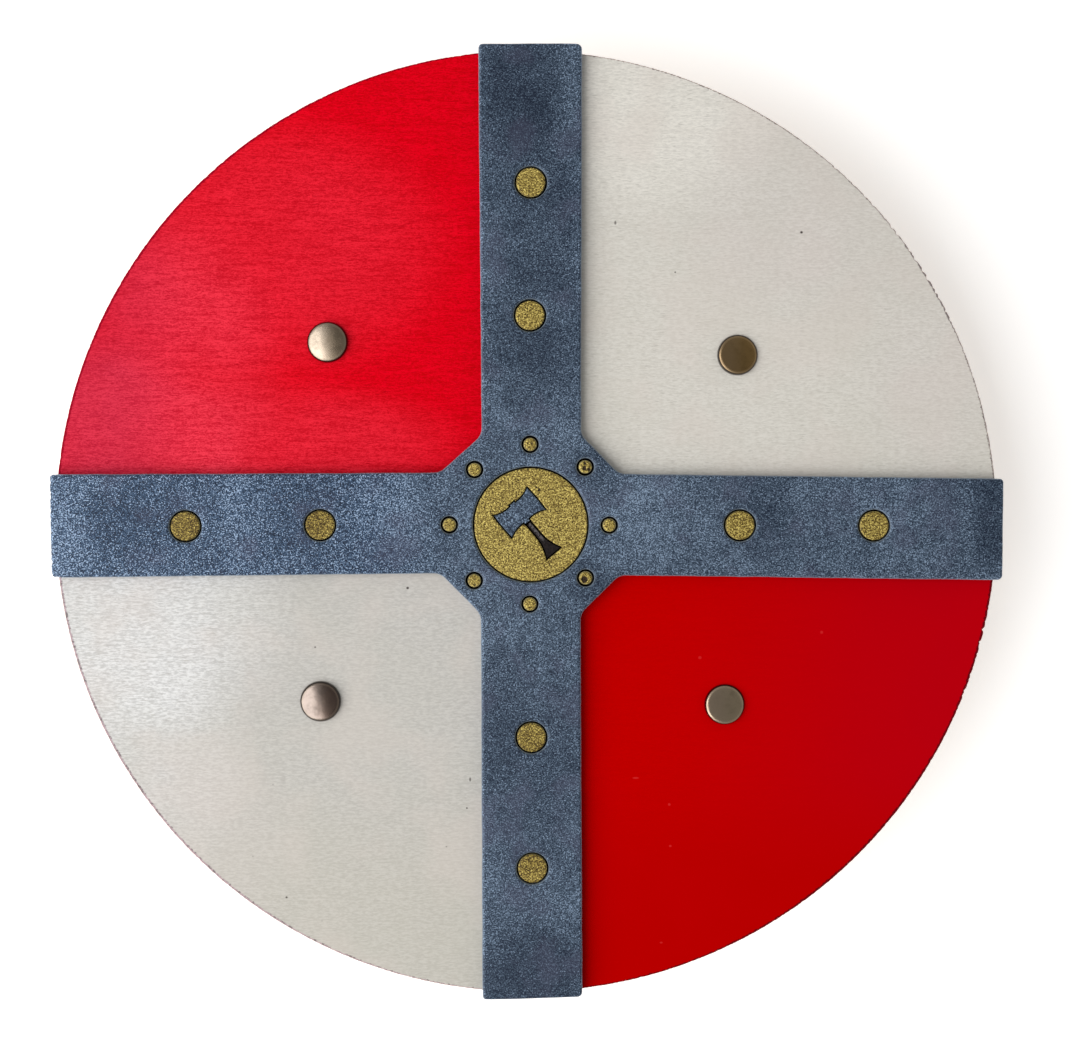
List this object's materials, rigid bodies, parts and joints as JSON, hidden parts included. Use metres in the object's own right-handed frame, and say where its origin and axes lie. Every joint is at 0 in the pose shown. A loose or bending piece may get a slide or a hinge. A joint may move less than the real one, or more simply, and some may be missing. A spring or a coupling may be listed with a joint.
{
  "type": "round shield",
  "caption": "Round toy shield: quartered painted plywood board, foam cross with inlaid studs and an axe disc, domed rivets, leather arm loops behind.",
  "frame": {"origin": "on the floor under the middle of the shield as it lies face up, level with the crowns of its two leather loops", "axes": "+X to the right across the face, +Y up the face, +Z straight out of the face"},
  "size_m": [0.3728, 0.374, 0.054],
  "materials": {
    "painted_plywood": "satin paint over level grain, red in two quarters and off-white in two, bare birch behind",
    "blue_foam": "speckled metallic blue-grey paint on foam",
    "gold_foam": "speckled old-gold paint on foam",
    "dark_foam": "smooth, near black",
    "aged_brass": "antique, polished on the dome",
    "leather": "brown strap leather, burnished edges"
  },
  "bodies": {
    "root": {"board": "painted_plywood", "cross": "blue_foam", "centre_disc": "gold_foam", "axe_head": "blue_foam", "axe_haft": "dark_foam", "arm_stud_right_inner": "gold_foam", "arm_stud_right_outer": "gold_foam", "arm_stud_top_inner": "gold_foam", "arm_stud_top_outer": "gold_foam", "arm_stud_left_inner": "gold_foam", "arm_stud_left_outer": "gold_foam", "arm_stud_bottom_inner": "gold_foam", "arm_stud_bottom_outer": "gold_foam", "ring_stud_1": "gold_foam", "ring_stud_2": "gold_foam", "ring_stud_3": "gold_foam", "ring_stud_4": "gold_foam", "ring_stud_5": "gold_foam", "ring_stud_6": "gold_foam", "ring_stud_7": "gold_foam", "ring_stud_8": "gold_foam", "rivet_grip_top": "aged_brass", "rivet_grip_bottom": "aged_brass", "washer_grip_top": "aged_brass", "washer_grip_bottom": "aged_brass", "grip_strap": "leather", "rivet_arm_top": "aged_brass", "rivet_arm_bottom": "aged_brass", "washer_arm_top": "aged_brass", "washer_arm_bottom": "aged_brass", "arm_strap": "leather"}
  },
  "joints": []
}
